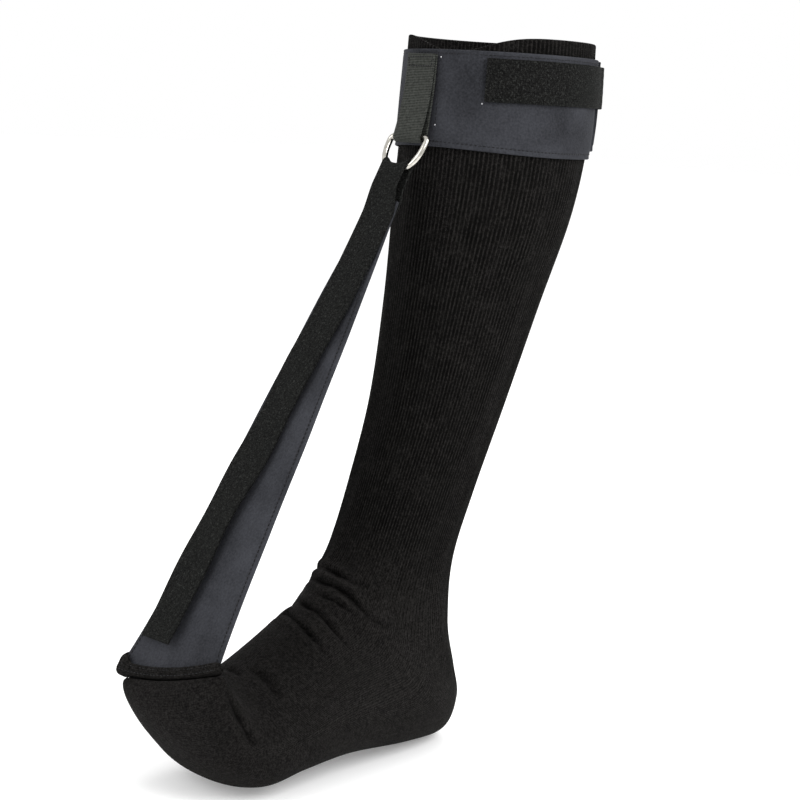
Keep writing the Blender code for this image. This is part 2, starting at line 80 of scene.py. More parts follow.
# The sock's sections, from the leg opening to the toes: (front forward, front height, back forward,
# back height, half width, front taper, squareness).
SECTIONS = np.array((
    (-2, 428, -123, 428, 53, 0.0, 2.0),
    (0, 384, -122, 373, 53.5, 0.0, 2.0),
    (4, 331, -111, 323, 52, 0.0, 2.0),
    (11, 270, -90, 266, 44, 0.0, 2.0),
    (21, 210, -67, 206, 38, 0.0, 2.0),
    (36, 161, -45, 153, 35, 0.0, 2.0),
    (49, 127, -31, 113, 34, 0.0, 2.0),
    (59, 113, -28, 73, 35, 0.02, 2.1),
    (67, 104, -35, 42, 36, 0.04, 2.2),
    (73, 99, -40, 20, 37, 0.05, 2.2),
    (78, 94, -29, 2, 38, 0.09, 2.2),
    (87, 88, 5, 1, 40, 0.11, 2.3),
    (105, 75, 58, 5, 42, 0.11, 2.3),
    (124, 63, 102, 4, 45, 0.12, 2.3),
    (137, 60, 131, 1, 46, 0.10, 2.3),
    (145, 61, 154, 10, 44, 0.05, 2.3),
    (152, 66, 171, 29, 40, 0.0, 2.3),
    (160, 69, 181, 48, 37, 0.0, 2.2),
    (166, 67, 183, 60, 36, 0.0, 2.0),
    (171, 63, 178, 67, 35, 0.0, 2.0),
), float)
TOE_END = 19.0
KNIT = 2.4
RIBS = 132
COLUMNS = RIBS * 4
WALES_PER_RIB = 2
RIB_DEPTH = 0.6
TOE_FULLNESS = 2.2
# The painted shade between the leg's ribs fades out across a slanting line from the instep to the heel, here
# in the frame's metres.
RIB_LINE_SLOPE, RIB_LINE_LOW, RIB_LINE_HIGH = 0.644, -0.376, -0.346

RIM_HEIGHT, RIM_DIP, RIM_DIP_ANGLE, RIM_DIP_SPREAD = 424.0, 10.0, 17.0, 28.0
BAND_BOTTOM, BAND_TOP, BAND_THICK, BAND_HEM, BAND_DROP = 360.0, 416.0, 1.8, 3.0, 3.5
FIT_GAP = 0.4
LAP_ANGLES = (142.5, 195.0)
TAB_ANGLES = (38.0, 152.0)
TAB_ROOT_ANGLES = (152.6, 168.0)
TAB_HEIGHTS = (387.0, 412.0)
TAB_THICK = 1.6

STRAP_FOOT = (174.0, 67.7)
STRAP_LEAN = math.radians(28.9)
STRAP_THICK, STRAP_TOP, STRAP_HEM = 2.0, 297.0, 2.6
SEAM_SLOPE, SEAM_BOW, SEAM_LEVEL = 0.27, 0.003, 4.5

# The lip's cross-section as (out, up) corners with their radii: a roll that is open at the top for the
# strap, and a closed lobe at its far end, which goes a little past the lip's own end.
LIP_ENDS, LOBE_PAST = (-43.0, 34.5), 1.2
LIP_OUTLINE = ((-3.2, -5.6), (3.9, -5.6), (3.9, 0.8), (2.7, 0.8), (2.7, -2.2), (-3.2, -2.2))
LIP_RADII = (1.6, 2.6, 0.6, 0.5, 0.4, 1.6)
LOBE_OUTLINE = ((-3.4, -6.8), (3.6, -7.2), (3.4, 4.6), (0.6, 7.6), (-1.6, 7.6), (-3.4, 3.0))
LOBE_RADII = (2.2, 2.6, 2.2, 1.6, 1.6, 2.2)
LIP_STITCH_HEIGHTS = (("upper", -0.8), ("lower", -4.0))

RING_ALONG, RING_HALF, RING_SIDE, RING_BOW = 339.5, 14.8, 3.0, 18.7
RING_CORNER, RING_WIRE, RING_SQUARE, RING_X = 3.0, 1.8, 2.5, -2.6
WEBBING_HALF, WEBBING_THICK, WEBBING_TOP = 11.0, 1.4, 413.0
SIDE_SEAM_ANGLE = 9.6
TAPE_THICK, TAPE_HALF, FOLD_HALF = 1.5, 12.7, 10.0
FOLD_END, BACK_RUN_END, TAIL_END, TAIL_LIFT = 308.0, 280.0, 16.0, 4.0

# Creases of the knit: (points across, forward and above the sole; depth; width).
CREASES = (
    (((-22, 34, 128), (0, 44, 128), (10, 42, 125), (20, 37, 117)), 2.0, 1.2),
    (((-28, 46, 104), (-18, 53, 110), (-3, 59, 113), (7, 59, 111), (16, 57, 109), (24, 49, 106)), 2.6, 1.5),
    (
        (
            (-24, 57, 100), (-9, 63, 107), (2, 65, 106), (11, 63, 105), (19, 60, 101), (27, 54, 91),
            (33, 40, 81),
        ),
        3.2, 1.7,
    ),
    (((1, 72, 101), (9, 70, 100), (15, 67, 98), (20, 64, 95), (27, 56, 86)), 1.8, 1.4),
    (
        (
            (-24, 73, 86), (-8, 77, 96), (2, 78, 94), (10, 77, 92), (19, 75, 86), (27, 72, 79),
            (33, 64, 68),
        ),
        2.4, 1.6,
    ),
    (((-22, 83, 80), (-9, 84, 89), (5, 88, 87), (17, 88, 82), (25, 86, 76), (32, 82, 65)), 2.6, 1.7),
    (((2, 122, 65), (14, 121, 63), (25, 122, 58), (36, 120, 48)), 1.6, 2.2),
    (((-17, 124, 61), (-7, 126, 62), (6, 128, 61)), 1.4, 1.8),
    (((34, 170, 74), (38, 163, 61), (40, 157, 50), (42, 153, 42), (42, 148, 33)), 2.2, 2.1),
)


def world(x, forward, height):
    x, forward, height = np.broadcast_arrays(x, forward, height)
    return np.stack([x, OPENING_FORWARD - forward, height - OPENING_HEIGHT], -1) * MM


def on_strap(x, along, out):
    """A point in the strap's frame: along runs up the strap from the toe seam, out leaves its front."""
    forward = STRAP_FOOT[0] - along * math.sin(STRAP_LEAN) + out * math.cos(STRAP_LEAN)
    height = STRAP_FOOT[1] + along * math.cos(STRAP_LEAN) + out * math.sin(STRAP_LEAN)
    return world(x, forward, height)


def eased(value):
    share = np.clip(value, 0.0, 1.0)
    return share * share * (3.0 - 2.0 * share)


def always(value):
    """A function that gives this value everywhere."""
    return lambda place: value + 0.0 * place


def reached(points):
    """How far along a path of points each one lies."""
    return np.concatenate([[0.0], np.cumsum(np.linalg.norm(np.diff(points, axis=0), axis=-1))]) / MM


def box_outline(low, high, steps):
    """The two coordinates of a sewn box's outline."""
    corners = (low, (high[0], low[1]), high, (low[0], high[1]), low)
    sides = [np.linspace(start, end, steps)[:-1] for start, end in zip(corners[:-1], corners[1:])]
    return np.concatenate(sides).T


def seam_rise(x):
    """How far up the strap's plane the toe seam runs at this place across."""
    return SEAM_SLOPE * x + SEAM_BOW * x * x


def section_at(t):
    """The section at a fractional place in the list, on a smooth curve through the sections."""
    padded = np.vstack([2 * SECTIONS[0] - SECTIONS[1], SECTIONS, 2 * SECTIONS[-1] - SECTIONS[-2]])
    index = np.clip(t.astype(int), 0, len(SECTIONS) - 2)
    u = (t - index)[..., None]
    p, q, r, s = (padded[index + k] for k in range(4))
    curve = 2 * q + (r - p) * u + (2 * p - 5 * q + 4 * r - s) * u**2 + (3 * q - p - 3 * r + s) * u**3
    return np.moveaxis(0.5 * curve, -1, 0)


def sock_point(t, angle):
    """A point of the sock's plain surface; angle 0 is the front and 90 the +X side."""
    t, angle = np.broadcast_arrays(np.asarray(t, float), np.asarray(angle, float))
    front_f, front_h, back_f, back_h, half, taper, square = section_at(t)
    turn = np.radians(angle)
    power = 2.0 / square
    fore = np.sign(np.cos(turn)) * np.abs(np.cos(turn)) ** power
    side = np.sign(np.sin(turn)) * np.abs(np.sin(turn)) ** power
    x = side * half * (1.0 - taper * fore)
    forward = 0.5 * (front_f + back_f) + 0.5 * (front_f - back_f) * fore
    height = 0.5 * (front_h + back_h) + 0.5 * (front_h - back_h) * fore
    rise = seam_rise(x) * np.clip((t - 15.5) / 2.5, 0.0, 1.0)
    return world(x, forward - rise * math.sin(STRAP_LEAN), height + rise * math.cos(STRAP_LEAN))


def sock_normal(t, angle):
    down = sock_point(np.minimum(t + 0.02, TOE_END), angle) - sock_point(np.maximum(t - 0.02, 0.0), angle)
    around = sock_point(t, angle + 1.0) - sock_point(t, angle - 1.0)
    normal = np.cross(down, around)
    return normal / np.linalg.norm(normal, axis=-1, keepdims=True)


def section_of_height(height, angle):
    """Where on the leg the surface reaches this height, by halving."""
    height, angle = np.broadcast_arrays(np.asarray(height, float), np.asarray(angle, float))
    target = (height - OPENING_HEIGHT) * MM
    low, high = np.zeros(height.shape), np.full(height.shape, 3.0)
    for _ in range(30):
        middle = 0.5 * (low + high)
        above = sock_point(middle, angle)[..., 2] > target
        low, high = np.where(above, middle, low), np.where(above, high, middle)
    return low


def at_height(height, angle, out):
    """A point at this height round the calf, out from the sock's surface."""
    t = section_of_height(height, angle)
    out = np.asarray(out, float)[..., None]
    return sock_point(t, angle) + sock_normal(t, angle) * out * MM


def rim_height(angle):
    away = (angle - RIM_DIP_ANGLE + 180.0) % 360.0 - 180.0
    return RIM_HEIGHT - RIM_DIP * np.exp(-((away / RIM_DIP_SPREAD) ** 2))


def band_bottom(angle):
    """The band's lower edge is highest at the shin and drops a little round the sides."""
    return BAND_BOTTOM - BAND_DROP * eased(np.abs((angle + 180.0) % 360.0 - 180.0) / 95.0)


def write_layer(mesh, name, u, v, shape, pairs):
    """Writes two measures of the cloth at each corner of its faces."""
    u, v = np.broadcast_to(u, shape), np.broadcast_to(v, shape)
    corners = np.stack([np.stack([u[r, c], v[r, c]], -1) for r, c in pairs], 2).reshape(-1, 2)
    values = np.zeros((len(mesh.loops), 2), np.float32)
    values[: len(corners)] = corners
    mesh.uv_layers.new(name=name).data.foreach_set("uv", values.ravel())


def add_loft(name, grid, u, v, material, loop_rows=False, fold=None):
    """A mesh over rows of closed outlines. u and v measure the cloth, one column wider than grid."""
    rows, columns = grid.shape[:2]
    row = np.arange(rows if loop_rows else rows - 1)[:, None]
    column = np.arange(columns)[None, :]
    below, after = (row + 1) % rows, (column + 1) % columns
    turns = ((row, column), (row, after), (below, after), (below, column))
    faces = np.stack([r * columns + c for r, c in turns], -1).reshape(-1, 4)
    mesh = bpy.data.meshes.new(name)
    ends = [list(range(columns))[::-1], list(range((rows - 1) * columns, rows * columns))]
    mesh.from_pydata(grid.reshape(-1, 3).tolist(), [], faces.tolist() + ([] if loop_rows else ends))
    pairs = ((row, column), (row, column + 1), (below, column + 1), (below, column))
    write_layer(mesh, "cloth", u, v, (rows, columns + 1), pairs)
    # The fold map carries the knit's painted crease shade and ridge highlight.
    if fold is not None:
        write_layer(mesh, "fold", np.hstack([fold, fold[:, :1]]), 0.0, (rows, columns + 1), pairs)
    return finish_mesh(name, mesh, material)


def finish_mesh(name, mesh, material):
    """Joins coincident points, turns the faces outwards and links the object."""
    shape = bmesh.new()
    shape.from_mesh(mesh)
    bmesh.ops.remove_doubles(shape, verts=shape.verts, dist=1e-6)
    bmesh.ops.recalc_face_normals(shape, faces=shape.faces)
    shape.to_mesh(mesh)
    shape.free()
    mesh.shade_smooth()
    mesh.set_sharp_from_angle(angle=math.radians(55))
    mesh.materials.append(material)
    piece = bpy.data.objects.new(name, mesh)
    bpy.context.scene.collection.objects.link(piece)
    return piece


def outline(half_thick, columns, rim=5):
    """A ribbon's section with round edges: across from -1 to 1, how far past the flat part, and out."""
    flat = np.linspace(-1.0, 1.0, columns)
    turn = np.linspace(0.0, math.pi, rim + 2)[1:-1]
    across = np.concatenate([flat, np.ones(rim), flat[::-1], -np.ones(rim)])
    past = np.concatenate([np.zeros(columns), np.sin(turn), np.zeros(columns), -np.sin(turn)])
    out = np.concatenate([np.ones(columns), np.cos(turn), -np.ones(columns), -np.cos(turn)])
    return across, past * half_thick, out * half_thick


def add_ribbon(name, stations, half_of, place, thick, material, relief, columns):
    """A flat strip with round edges. place(station, x, out) puts each of its points."""
    across, past, out = outline(0.5 * thick, columns)
    station = np.asarray(stations, float)[:, None]
    half = np.asarray(half_of(station), float) - 0.5 * thick
    x = across * half + past
    out = np.broadcast_to(out, x.shape)
    if relief is not None:
        out = out + relief(station, x, half + 0.5 * thick) * np.sign(out) * (np.abs(past) < 1e-9)
    grid = place(np.broadcast_to(station, x.shape), x, out)
    girth = np.append(across, across[0]) * half
    return add_loft(name, grid, girth, reached(grid[:, columns // 2])[:, None], material)


# Materials. Each reads the cloth's own measure from its "cloth" map, how deep the knit is creased (as
# painted shade in the creases and painted highlight on their ridges) from its "fold" map, or the object's
# own coordinates.


class Nodes:
    """A short way to write a material's node tree."""

    def __init__(self, name):
        self.material = bpy.data.materials.new(name)
        self.material.use_nodes = True
        self.tree = self.material.node_tree
        self.shader = self.tree.nodes["Principled BSDF"]

    def add(self, kind, inputs=(), **settings):
        node = self.tree.nodes.new("ShaderNode" + kind)
        for key, value in settings.items():
            setattr(node, key, value)
        for key, value in dict(inputs).items():
            if isinstance(value, bpy.types.NodeSocket):
                self.tree.links.new(value, node.inputs[key])
            else:
                node.inputs[key].default_value = value
        return node

    def math(self, operation, a, b=0.0, c=0.0):
        return self.add("Math", {0: a, 1: b, 2: c}, operation=operation).outputs[0]

    def cloth(self):
        """The cloth's own two directions."""
        split = self.add("SeparateXYZ", {0: self.add("UVMap", uv_map="cloth").outputs[0]})
        return split.outputs[0], split.outputs[1]

    def noise(self, scale, detail=2.0):
        place = self.add("TexCoord").outputs["Object"]
        return self.add("TexNoise", {"Vector": place, "Scale": scale, "Detail": detail}).outputs["Fac"]

    def wave(self, value, pitch):
        """Nought to one and back each pitch."""
        turns = self.math("MULTIPLY", value, math.tau / pitch)
        return self.math("MULTIPLY_ADD", self.math("SINE", turns), 0.5, 0.5)

    def colours(self, value, stops):
        ramp = self.add("ValToRGB", {0: value})
        elements = ramp.color_ramp.elements
        while len(elements) < len(stops):
            elements.new(0.5)
        for element, (position, colour) in zip(elements, stops):
            element.position = position
            element.color = (*colour, 1.0)
        return ramp.outputs[0]

    def finish(self, colour, height, depth, roughness, sheen=0.0, sheen_tint=(1, 1, 1), metallic=0.0):
        inputs = self.shader.inputs
        self.tree.links.new(colour, inputs["Base Color"])
        if isinstance(roughness, bpy.types.NodeSocket):
            self.tree.links.new(roughness, inputs["Roughness"])
        else:
            inputs["Roughness"].default_value = roughness
        inputs["Metallic"].default_value = metallic
        inputs["Sheen Weight"].default_value = sheen
        inputs["Sheen Roughness"].default_value = 0.5
        inputs["Sheen Tint"].default_value = (*sheen_tint, 1.0)
        if metallic == 0.0:
            inputs["Specular IOR Level"].default_value = 0.06
        bump = self.add("Bump", {"Height": height, "Distance": depth * MM, "Strength": 1.0})
        self.tree.links.new(bump.outputs[0], inputs["Normal"])
        return self.material


def knit_material():
    """Plain knit: columns of V stitches under loose fibre, with painted shade in creases and between the
    leg's ribs, and painted highlight on crease ridges and raised stitches.
    """
    nodes = Nodes("knit_black")
    wale, course = nodes.cloth()
    away = nodes.math("ABSOLUTE", nodes.math("SUBTRACT", nodes.math("FRACT", wale), 0.5))
    slanted = nodes.math("MULTIPLY_ADD", away, 1.3, course)
    loops = nodes.wave(slanted, 1.0)
    column = nodes.math("SUBTRACT", 1.0, nodes.math("MULTIPLY", nodes.math("POWER", away, 2.0), 3.6))
    stitches = nodes.math("MULTIPLY", column, nodes.math("MULTIPLY_ADD", loops, 0.6, 0.4))
    fibre = nodes.noise(1300.0, 3.0)
    height = nodes.math("MULTIPLY_ADD", fibre, 0.6, stitches)
    # Painted shade between the leg's ribs, which fades out across the rib line at the instep and heel.
    place = nodes.add("SeparateXYZ", {0: nodes.add("TexCoord").outputs["Object"]})
    slant = nodes.math("MULTIPLY_ADD", place.outputs[1], RIB_LINE_SLOPE, place.outputs[2])
    on_leg = nodes.add("MapRange", {0: slant, 1: RIB_LINE_LOW, 2: RIB_LINE_HIGH}).outputs[0]
    rib_turn = nodes.math("MULTIPLY_ADD", wale, math.pi / WALES_PER_RIB, 0.25 * math.pi)
    ridge = nodes.math("ABSOLUTE", nodes.math("SINE", rib_turn))
    groove = nodes.math("MULTIPLY", nodes.math("SUBTRACT", 1.0, nodes.math("POWER", ridge, 0.6)), on_leg)
    coarse = nodes.math("MULTIPLY", nodes.noise(480.0), 0.35)
    specks = nodes.math("MULTIPLY_ADD", nodes.noise(1000.0, 2.0), 0.55, coarse)
    grain = nodes.math("MULTIPLY_ADD", nodes.noise(60.0), 0.1, specks)
    uneven = nodes.math("MULTIPLY_ADD", nodes.noise(110.0, 3.0), 1.5, -0.3)
    groove = nodes.math("MULTIPLY", groove, nodes.math("MULTIPLY", uneven, 0.6))
    # The colour is painted lighter where the stitches stand up, a painted highlight over the random grain.
    shade = nodes.math("SUBTRACT", nodes.math("MULTIPLY_ADD", height, 0.2, grain), groove)
    # Painted shade in the knit's creases and painted highlight on the ridges beside them, read from the
    # "fold" map.
    fold = nodes.add("SeparateXYZ", {0: nodes.add("UVMap", uv_map="fold").outputs[0]}).outputs[0]
    shade = nodes.math("MULTIPLY_ADD", fold, 0.075, shade)
    deep, middle, light = (0.0004, 0.0004, 0.0004), (0.0026, 0.0024, 0.0022), (0.021, 0.0195, 0.0185)
    colour = nodes.colours(shade, ((0.3, deep), (0.56, middle), (0.85, light)))
    return nodes.finish(colour, height, 0.55, 0.95, 0.006, (0.9, 0.85, 0.8))


def loop_cloth_material():
    """Brushed loop cloth over foam: a soft fine nap, with broad random patches of painted light and shade.
    """
    nodes = Nodes("loop_cloth_slate")
    u, v = nodes.cloth()
    nap = nodes.noise(2600.0, 4.0)
    weave = nodes.math("ADD", nodes.wave(u, 0.8), nodes.wave(v, 0.9))
    height = nodes.math("MULTIPLY_ADD", weave, 0.22, nap)
    fine = nodes.math("MULTIPLY", nodes.noise(800.0, 2.0), 0.42)
    # Broad random patches of painted light and shade over the fine grain.
    painted_shade_patches = nodes.math("MULTIPLY_ADD", nodes.noise(26.0, 3.0), 0.75, fine)
    shade = nodes.math("MULTIPLY_ADD", nap, 0.15, painted_shade_patches)
    colour = nodes.colours(shade, ((0.46, (0.0135, 0.014, 0.0163)), (0.86, (0.042, 0.0435, 0.0505))))
    return nodes.finish(colour, height, 0.2, 0.9, 0.02, (0.9, 0.93, 1.0))


def pile_tape_material():
    """Hook-and-loop tape: short tangled pile in rows, with a few threads that catch the light."""
    nodes = Nodes("pile_tape_black")
    u, v = nodes.cloth()
    place = nodes.add("TexCoord").outputs["Object"]
    tufts = nodes.add("TexVoronoi", {"Vector": place, "Scale": 1150.0}).outputs["Distance"]
    rows = nodes.math("MULTIPLY", nodes.wave(u, 1.1), nodes.wave(v, 1.3))
    height = nodes.math("MULTIPLY_ADD", rows, 0.35, nodes.math("SUBTRACT", 1.0, tufts))
    glint = nodes.math("MULTIPLY_ADD", nodes.noise(900.0, 2.0), 0.75, nodes.math("MULTIPLY", height, 0.2))
    deep, middle, light = (0.0018, 0.0019, 0.0018), (0.0085, 0.0088, 0.0082), (0.034, 0.0355, 0.033)
    colour = nodes.colours(glint, ((0.36, deep), (0.56, middle), (0.76, light)))
    return nodes.finish(colour, height, 0.5, 0.85, 0.01, (0.9, 0.95, 0.9))


def webbing_material():
    """Woven webbing: fine ribs straight across it, broken by the warp."""
    nodes = Nodes("webbing_black")
    u, v = nodes.cloth()
    drift = nodes.math("MULTIPLY_ADD", nodes.noise(110.0), 0.5, v)
    ribs = nodes.math("POWER", nodes.wave(drift, 0.95), 0.8)
    warp = nodes.wave(u, 0.8)
    height = nodes.math("MULTIPLY_ADD", warp, 0.35, ribs)
    # The ribs are painted lighter on their tops and darker between them (painted highlight and shade), over
    # random tone.
    shade = nodes.math("MULTIPLY_ADD", nodes.noise(700.0), 0.6, nodes.math("MULTIPLY", height, 0.35))
    colour = nodes.colours(shade, ((0.32, (0.008, 0.0087, 0.0078)), (0.82, (0.066, 0.069, 0.062))))
    return nodes.finish(colour, height, 0.3, 0.75, 0.02, (0.9, 1.0, 0.9))


def thread_material(name, dark, light):
    """Twisted sewing thread."""
    nodes = Nodes(name)
    twist = nodes.noise(2400.0, 1.0)
    colour = nodes.colours(twist, ((0.3, dark), (0.7, light)))
    return nodes.finish(colour, twist, 0.08, 0.6, 0.1)


def nickel_material():
    """Polished nickel plate over bent wire, with faint rubbing marks."""
    nodes = Nodes("nickel")
    marks = nodes.noise(320.0, 5.0)
    colour = nodes.colours(marks, ((0.3, (0.36, 0.345, 0.31)), (0.7, (0.62, 0.6, 0.55))))
    roughness = nodes.math("MULTIPLY_ADD", marks, 0.14, 0.08)
    return nodes.finish(colour, marks, 0.02, roughness, metallic=1.0)


KNIT_BLACK = knit_material()
LOOP_CLOTH = loop_cloth_material()
PILE_TAPE = pile_tape_material()
WEBBING = webbing_material()
THREAD = thread_material("thread_black", (0.004, 0.004, 0.005), (0.014, 0.014, 0.016))
PALE_THREAD = thread_material("thread_end_pale", (0.35, 0.35, 0.36), (0.6, 0.6, 0.62))
NICKEL = nickel_material()


# The knitted sock.


def crease_dent(points, line, depth, width):
    """How far the knit sinks near a crease, with a soft ridge on both sides of it."""
    line = world(*np.array(line, float).T)
    nearest = np.full(points.shape[:-1], np.inf)
    reach = np.zeros(points.shape[:-1])
    share_at = np.linspace(0.0, 1.0, len(line))
    for index, (a, b) in enumerate(zip(line[:-1], line[1:])):
        step = b - a
        share = np.clip(((points - a) @ step) / (step @ step), 0.0, 1.0)
        away = np.linalg.norm(points - a - share[..., None] * step, axis=-1) / MM
        closer = away < nearest
        nearest = np.where(closer, away, nearest)
        along = share_at[index] + share * (share_at[index + 1] - share_at[index])
        reach = np.where(closer, along, reach)
    uneven = 0.8 + 0.2 * np.sin(reach * 17.0 + depth * 9.0)
    fade = np.sin(np.clip(reach, 0.0, 1.0) * math.pi) ** 0.8 * uneven
    groove = np.exp(-((nearest / (width * uneven)) ** 2))
    ridge = np.exp(-(((nearest - 2.3 * width) / (1.3 * width)) ** 2))
    return fade * depth * (0.5 * ridge - groove)


def rib_height(t, angle):
    """The leg's ribs: round ridges with narrow grooves, some tighter, that end at the heel and instep."""
    turn = np.radians(angle)
    ridge = np.abs(np.sin(turn * 0.5 * RIBS + 0.25 * math.pi)) ** 0.8 - 1.0
    back = 0.5 * (1.0 - np.cos(turn))
    fade = 1.0 - eased((t - 6.7 - 1.6 * back) / 1.4)
    tight = 0.75 + 0.25 * np.sin(turn * 11.0 + 1.7 * np.sin(t * 1.3)) + 0.2 * np.sin(turn * 29.0 + 2.0 * t)
    return RIB_DEPTH * ridge * fade * tight


def ripple(points, seed):
    """Slow unevenness of cloth, from a few crossed waves."""
    x, y, z = np.moveaxis(points / MM, -1, 0)
    waves = np.sin(x / 17.0 + seed) + np.sin(y / 23.0 + 2.1 * seed) * np.cos(z / 31.0 - seed)
    return waves + 0.5 * np.sin((x + z) / 9.0 + 3.0 * seed)


def sock_rows():
    """Section values of the outer surface, close together where the knit folds."""
    return np.concatenate([np.linspace(0.0, 6.0, 70)[:-1], np.linspace(6.0, TOE_END, 170)])


def build_sock():
    angle = np.arange(COLUMNS)[None, :] * 360.0 / COLUMNS
    rim = section_of_height(rim_height(angle), angle)
    t = sock_rows()[:, None]
    t = t + rim * np.clip(1.0 - t, 0.0, 1.0)
    base = sock_point(t, angle)
    dent = sum(crease_dent(base, *crease) for crease in CREASES)
    out = rib_height(t, angle) + dent
    loose = eased((t - 6.0) / 1.0) * (1.0 - eased((t - 16.0) / 2.0))
    out = out + 0.28 * ripple(base, 1.3) * loose
    under = 0.5 - 0.5 * np.cos(np.radians(angle))
    out = out + TOE_FULLNESS * np.exp(-(((t - 17.1) / 1.1) ** 2)) * under
    outer = base + sock_normal(t, angle) * out[..., None] * MM
    # The end of the toe closes on its seam.
    half = COLUMNS // 2
    mirrored = (half - np.arange(COLUMNS)) % COLUMNS
    seam = 0.5 * (outer[-1] + outer[-1][mirrored])
    inner_t = np.concatenate([np.linspace(0.0, 6.0, 13)[:-1], np.linspace(6.0, 18.0, 40)])[:, None]
    inner_t = inner_t + rim * np.clip(1.0 - inner_t, 0.0, 1.0)
    inner = sock_point(inner_t, angle) - sock_normal(inner_t, angle) * KNIT * MM
    inner_seam = 0.5 * (inner[-1] + inner[-1][mirrored])
    turn = np.linspace(0.0, math.pi, 7)[1:-1, None, None]
    roll = 0.5 * (outer[0] + inner[0]) + 0.5 * (outer[0] - inner[0]) * np.cos(turn)
    roll = roll + np.array([0.0, 0.0, 0.5 * KNIT * MM]) * np.sin(turn)
    grid = np.concatenate([roll[::-1], outer, seam[None], inner_seam[None], inner[::-1]])
    u = np.arange(COLUMNS + 1)[None, :] * (RIBS * WALES_PER_RIB / COLUMNS)
    courses = reached(grid[:, COLUMNS // 4])[:, None]
    fold = np.zeros(grid.shape[:2])
    # The fold map holds painted shade where the knit sinks into a crease and weaker painted highlight on the
    # ridges beside it.
    fold[len(roll) : len(roll) + len(outer)] = np.where(dent < 0.0, dent, 0.4 * dent)
    sock = add_loft("knitted_sock", grid, u, courses, KNIT_BLACK, loop_rows=True, fold=fold)
    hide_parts("sock_welt", "sock_leg", "sock_ankle", "sock_heel", "sock_foot", "sock_toe")
    world(0, 14, 131)
    world(0, 32, 72)
    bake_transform(sock)


def lip_section(corners, radii):
    """The lip across its length, as (out, up), with its corners rounded."""
    corners = np.array(corners)
    rows = []
    for index, (corner, radius) in enumerate(zip(corners, radii)):
        before = corners[index - 1] - corner
        after = corners[(index + 1) % len(corners)] - corner
        first = corner + before / np.linalg.norm(before) * radius
        last = corner + after / np.linalg.norm(after) * radius
        for share in np.linspace(0.0, 1.0, 6):
            low = first + (corner - first) * share
            high = corner + (last - corner) * share
            rows.append(low + (high - low) * share)
    return np.array(rows)


def on_lip(x, up, out):
    """A point on the lip, level with the toe seam."""
    return on_strap(x, SEAM_LEVEL + seam_rise(x) + up, out)


def lip_shape(section, x):
    """The lip's outline at each x: by the strap's far corner its front wall rises, and past it it closes."""
    lobe = lip_section(LOBE_OUTLINE, LOBE_RADII)
    start, end = LIP_ENDS[0] - LOBE_PAST, LIP_ENDS[1]
    taper = np.clip(np.minimum((x - start) / 5.5, (end - x) / 5.0), 0.0, 1.0)
    taper = 0.3 + 0.7 * np.sqrt(1.0 - (1.0 - taper) ** 2)
    closed = eased((-39.2 - x) / 2.2)[..., None]
    front_wall = np.clip((section[:, 1] + 2.2) / 3.0, 0.0, 1.0) * (section[:, 0] > 2.0)
    sagging = np.clip((-3.0 - section[:, 1]) / 2.0, 0.0, 1.0)
    raised = 4.4 * eased((-31.0 - x) / 8.0) * front_wall - 1.5 * eased((-31.0 - x) / 7.0) * sagging
    shape = section + np.stack([0.0 * raised, raised], -1)
    shape = shape + (lobe - shape) * closed
    middle = np.array((0.6, -2.9)) + np.array((-0.5, 2.6)) * closed
    return np.moveaxis(middle + (shape - middle) * taper[..., None], -1, 0)


def build_toe_lip():
    """The knitted lip over the toes: a soft roll, a little uneven from its seam."""
    section = lip_section(LIP_OUTLINE, LIP_RADII)
    x = np.linspace(LIP_ENDS[0] - LOBE_PAST, LIP_ENDS[1], 150)[:, None]
    out, up = lip_shape(section, x)
    in_front = np.clip(section[:, 0] - 2.9, 0.0, 1.0)
    uneven = 0.22 * np.sin(x * 0.7 + 1.0) + 0.12 * np.sin(x * 1.9)
    seam = 0.3 * np.exp(-(((section[:, 1] + 3.9) / 0.5) ** 2))
    grid = on_lip(x, up, out + (uneven - seam) * in_front)
    girth = np.concatenate([[0.0], np.cumsum(np.hypot(*np.diff(section, axis=0).T))])
    u = np.append(girth, girth[-1] + 1.0)[None, :] * 0.9
    lip = add_loft("toe_lip_knit", grid, u, x, KNIT_BLACK)
    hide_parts("toe_lip")
    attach(lip, "foot")


# Stitches.


def add_stitches(name, path, pitch, length, radius, material):
    """Separate stitches along a path: each is a short spindle of thread, sunk at both ends."""
    path = np.asarray(path)
    reach = reached(path)
    count = max(int(reach[-1] / pitch), 1)
    points, faces = [], []
    shares = ((0.0, 0.25), (0.14, 0.85), (0.5, 1.0), (0.86, 0.85), (1.0, 0.25))
    sides = 6
    for index in range(count):
        start = (index + 0.5) * reach[-1] / count - 0.5 * length
        places = [
            np.array([np.interp(start + share * length, reach, path[:, axis]) for axis in range(3)])
            for share, _ in shares
        ]
        ahead = Vector(places[-1] - places[0]).normalized()
        across = ahead.orthogonal().normalized()
        up = ahead.cross(across)
        first = len(points)
        for place, (_, width) in zip(places, shares):
            for side in range(sides):
                turn = math.tau * side / sides
                spoke = across * math.cos(turn) + up * math.sin(turn)
                points.append(Vector(place) + spoke * radius * width * MM)
        for ring in range(len(shares) - 1):
            for side in range(sides):
                corner = first + ring * sides
                after = (side + 1) % sides
                faces.append((corner + side, corner + after, corner + sides + after, corner + sides + side))
        faces.append(tuple(range(first + sides - 1, first - 1, -1)))
        faces.append(tuple(range(len(points) - sides, len(points))))
    mesh = bpy.data.meshes.new(name)
    mesh.from_pydata(points, [], faces)
    return finish_mesh(name, mesh, material)


def sew(name, path, body, *nodes, pitch=2.7, length=2.1, radius=0.28, material=THREAD):
    """A row of stitches that rides on a body and stands for these nodes of the CAD."""
    row = add_stitches(name, path, pitch, length, radius, material)
    if nodes:
        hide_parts(*nodes)
    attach(row, body)
    return row


# Calf band and its closure.


